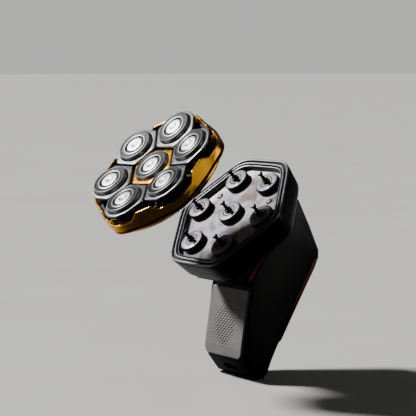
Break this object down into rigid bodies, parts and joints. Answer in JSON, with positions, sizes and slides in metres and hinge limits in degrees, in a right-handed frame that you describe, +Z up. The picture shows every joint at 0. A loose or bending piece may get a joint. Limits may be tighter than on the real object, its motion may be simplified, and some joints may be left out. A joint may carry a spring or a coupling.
{
  "type": "rotary head shaver",
  "caption": "Cordless rotary head shaver standing on its foot, with its gold-banded cutter cartridge lifted off a tilted hexagonal drive deck with spindles.",
  "frame": {"origin": "centre of the flat foot, on the floor", "axes": "+Z up, -Y the side that the drive deck and the grip pad face, +X across the handle to the right of someone facing the deck"},
  "size_m": [0.0674, 0.1137, 0.1255],
  "materials": {
    "shell": "satin black moulded shell",
    "cover": "black anodised",
    "panel": "dark grey anodised side panel, satin",
    "accent": "copper-red metallic paint",
    "grip": "soft grey grip with hexagonal dimples",
    "rubber": "black rubber",
    "deck": "satin light grey",
    "spindle": "black moulded drive spindles and gears",
    "inner_black": "matt black",
    "gold": "gold-plated plastic, polished",
    "cap_steel": "bright turned steel",
    "head_plate": "silver-plated plastic, satin",
    "rotor_carrier": "pale moulded carrier",
    "steel": "plain steel",
    "cell": "blue wrapped cell",
    "board": "green circuit board",
    "window": "black gloss window"
  },
  "bodies": {
    "handle_body": {"handle_shell": "shell", "back_cover": "cover", "side_panel_left": "panel", "side_panel_right": "panel", "neck_trim_left": "accent", "neck_trim_right": "accent", "back_trim_left": "accent", "back_trim_right": "accent", "grip_pad": "grip", "foot_pad": "rubber", "charging_socket": "steel", "motor": "steel", "battery": "cell", "circuit_board": "board", "display_window": "window", "pod_housing": "shell", "deck_plate": "deck", "deck_gasket": "rubber", "deck_screw_1": "steel", "deck_screw_2": "steel", "gear_plate": "inner_black", "spindle_bush_0": "deck", "spindle_bush_1": "deck", "spindle_bush_2": "deck", "spindle_bush_3": "deck", "spindle_bush_4": "deck", "spindle_bush_5": "deck", "spindle_bush_6": "deck"},
    "magnet_body": {"holding_magnet": "steel"},
    "cartridge_body": {"cartridge_frame": "gold", "retainer_plate": "inner_black"},
    "button_body": {"power_button": "accent"},
    "head_body_0": {"cutter_cap_0": "cap_steel", "head_frame_0": "gold"},
    "rotor_body_0": {"rotor_0": "rotor_carrier"},
    "spindle_body_0": {"spindle_0": "spindle"},
    "head_body_1": {"cutter_cap_1": "cap_steel", "head_frame_1": "head_plate"},
    "rotor_body_1": {"rotor_1": "rotor_carrier"},
    "spindle_body_1": {"spindle_1": "spindle"},
    "head_body_2": {"cutter_cap_2": "cap_steel", "head_frame_2": "head_plate"},
    "rotor_body_2": {"rotor_2": "rotor_carrier"},
    "spindle_body_2": {"spindle_2": "spindle"},
    "head_body_3": {"cutter_cap_3": "cap_steel", "head_frame_3": "head_plate"},
    "rotor_body_3": {"rotor_3": "rotor_carrier"},
    "spindle_body_3": {"spindle_3": "spindle"},
    "head_body_4": {"cutter_cap_4": "cap_steel", "head_frame_4": "head_plate"},
    "rotor_body_4": {"rotor_4": "rotor_carrier"},
    "spindle_body_4": {"spindle_4": "spindle"},
    "head_body_5": {"cutter_cap_5": "cap_steel", "head_frame_5": "head_plate"},
    "rotor_body_5": {"rotor_5": "rotor_carrier"},
    "spindle_body_5": {"spindle_5": "spindle"},
    "head_body_6": {"cutter_cap_6": "cap_steel", "head_frame_6": "head_plate"},
    "rotor_body_6": {"rotor_6": "rotor_carrier"},
    "spindle_body_6": {"spindle_6": "spindle"}
  },
  "joints": [
    {"name": "cartridge_lift", "type": "slide", "parent": "handle_body", "child": "magnet_body", "axis": [0, -0.9213, 0.3889], "range_m": [-0.04091, 0]},
    {"name": "cartridge_twist", "type": "hinge", "parent": "magnet_body", "child": "cartridge_body", "pos_m": [0, -0.04569, 0.09491], "axis": [0, -0.7071, 0.7071], "range_deg": [-34.5, 0]},
    {"name": "head_float_0", "type": "slide", "parent": "cartridge_body", "child": "head_body_0", "axis": [0, -0.7071, 0.7071], "range_m": [-0.0009, 0], "stiffness_N_per_m": 120, "springref_m": 0.0008},
    {"name": "head_float_1", "type": "slide", "parent": "cartridge_body", "child": "head_body_1", "axis": [-0.0721, -0.7391, 0.6698], "range_m": [-0.0009, 0], "stiffness_N_per_m": 120, "springref_m": 0.0008},
    {"name": "head_float_2", "type": "slide", "parent": "cartridge_body", "child": "head_body_2", "axis": [0.0064, -0.7659, 0.643], "range_m": [-0.0009, 0], "stiffness_N_per_m": 120, "springref_m": 0.0008},
    {"name": "head_float_3", "type": "slide", "parent": "cartridge_body", "child": "head_body_3", "axis": [0.0785, -0.7312, 0.6776], "range_m": [-0.0009, 0], "stiffness_N_per_m": 120, "springref_m": 0.0008},
    {"name": "head_float_4", "type": "slide", "parent": "cartridge_body", "child": "head_body_4", "axis": [0.0721, -0.6698, 0.7391], "range_m": [-0.0009, 0], "stiffness_N_per_m": 120, "springref_m": 0.0008},
    {"name": "head_float_5", "type": "slide", "parent": "cartridge_body", "child": "head_body_5", "axis": [-0.0064, -0.643, 0.7659], "range_m": [-0.0009, 0], "stiffness_N_per_m": 120, "springref_m": 0.0008},
    {"name": "head_float_6", "type": "slide", "parent": "cartridge_body", "child": "head_body_6", "axis": [-0.0785, -0.6776, 0.7312], "range_m": [-0.0009, 0], "stiffness_N_per_m": 120, "springref_m": 0.0008},
    {"name": "rotor_spin_0", "type": "hinge", "parent": "head_body_0", "child": "rotor_body_0", "pos_m": [0, -0.04993, 0.09915], "axis": [0, -0.7071, 0.7071], "continuous": true},
    {"name": "rotor_spin_1", "type": "hinge", "parent": "head_body_1", "child": "rotor_body_1", "pos_m": [0.0182, -0.04119, 0.1079], "axis": [-0.0721, -0.7391, 0.6698], "continuous": true},
    {"name": "rotor_spin_2", "type": "hinge", "parent": "head_body_2", "child": "rotor_body_2", "pos_m": [-0.00161, -0.03442, 0.11467], "axis": [0.0064, -0.7659, 0.643], "continuous": true},
    {"name": "rotor_spin_3", "type": "hinge", "parent": "head_body_3", "child": "rotor_body_3", "pos_m": [-0.01981, -0.04316, 0.10592], "axis": [0.0785, -0.7312, 0.6776], "continuous": true},
    {"name": "rotor_spin_4", "type": "hinge", "parent": "head_body_4", "child": "rotor_body_4", "pos_m": [-0.0182, -0.05867, 0.09041], "axis": [0.0721, -0.6698, 0.7391], "continuous": true},
    {"name": "rotor_spin_5", "type": "hinge", "parent": "head_body_5", "child": "rotor_body_5", "pos_m": [0.00161, -0.06545, 0.08364], "axis": [-0.0064, -0.643, 0.7659], "continuous": true},
    {"name": "rotor_spin_6", "type": "hinge", "parent": "head_body_6", "child": "rotor_body_6", "pos_m": [0.01981, -0.0567, 0.09238], "axis": [-0.0785, -0.6776, 0.7312], "continuous": true},
    {"name": "spindle_spin_0", "type": "hinge", "parent": "handle_body", "child": "spindle_body_0", "pos_m": [0, -0.008, 0.079], "axis": [0, -0.7071, 0.7071], "continuous": true},
    {"name": "spindle_spin_1", "type": "hinge", "parent": "handle_body", "child": "spindle_body_1", "pos_m": [0.022, -0.008, 0.079], "axis": [0, -0.7071, 0.7071], "continuous": true},
    {"name": "spindle_spin_2", "type": "hinge", "parent": "handle_body", "child": "spindle_body_2", "pos_m": [0.011, 0.00547, 0.09247], "axis": [0, -0.7071, 0.7071], "continuous": true},
    {"name": "spindle_spin_3", "type": "hinge", "parent": "handle_body", "child": "spindle_body_3", "pos_m": [-0.011, 0.00547, 0.09247], "axis": [0, -0.7071, 0.7071], "continuous": true},
    {"name": "spindle_spin_4", "type": "hinge", "parent": "handle_body", "child": "spindle_body_4", "pos_m": [-0.022, -0.008, 0.079], "axis": [0, -0.7071, 0.7071], "continuous": true},
    {"name": "spindle_spin_5", "type": "hinge", "parent": "handle_body", "child": "spindle_body_5", "pos_m": [-0.011, -0.02147, 0.06553], "axis": [0, -0.7071, 0.7071], "continuous": true},
    {"name": "spindle_spin_6", "type": "hinge", "parent": "handle_body", "child": "spindle_body_6", "pos_m": [0.011, -0.02147, 0.06553], "axis": [0, -0.7071, 0.7071], "continuous": true},
    {"name": "power_press", "type": "slide", "parent": "handle_body", "child": "button_body", "axis": [0, 0.8327, -0.5537], "range_m": [-0.0008, 0], "stiffness_N_per_m": 400, "springref_m": 0.0008}
  ],
  "couplings": [
    {"joint": "cartridge_twist", "follows": "cartridge_lift", "rad_per_m": 14.591},
    {"joint": "spindle_spin_1", "follows": "spindle_spin_0", "ratio": -2.3077},
    {"joint": "spindle_spin_2", "follows": "spindle_spin_0", "ratio": -2.3077},
    {"joint": "spindle_spin_3", "follows": "spindle_spin_0", "ratio": -2.3077},
    {"joint": "spindle_spin_4", "follows": "spindle_spin_0", "ratio": -2.3077},
    {"joint": "spindle_spin_5", "follows": "spindle_spin_0", "ratio": -2.3077},
    {"joint": "spindle_spin_6", "follows": "spindle_spin_0", "ratio": -2.3077}
  ]
}
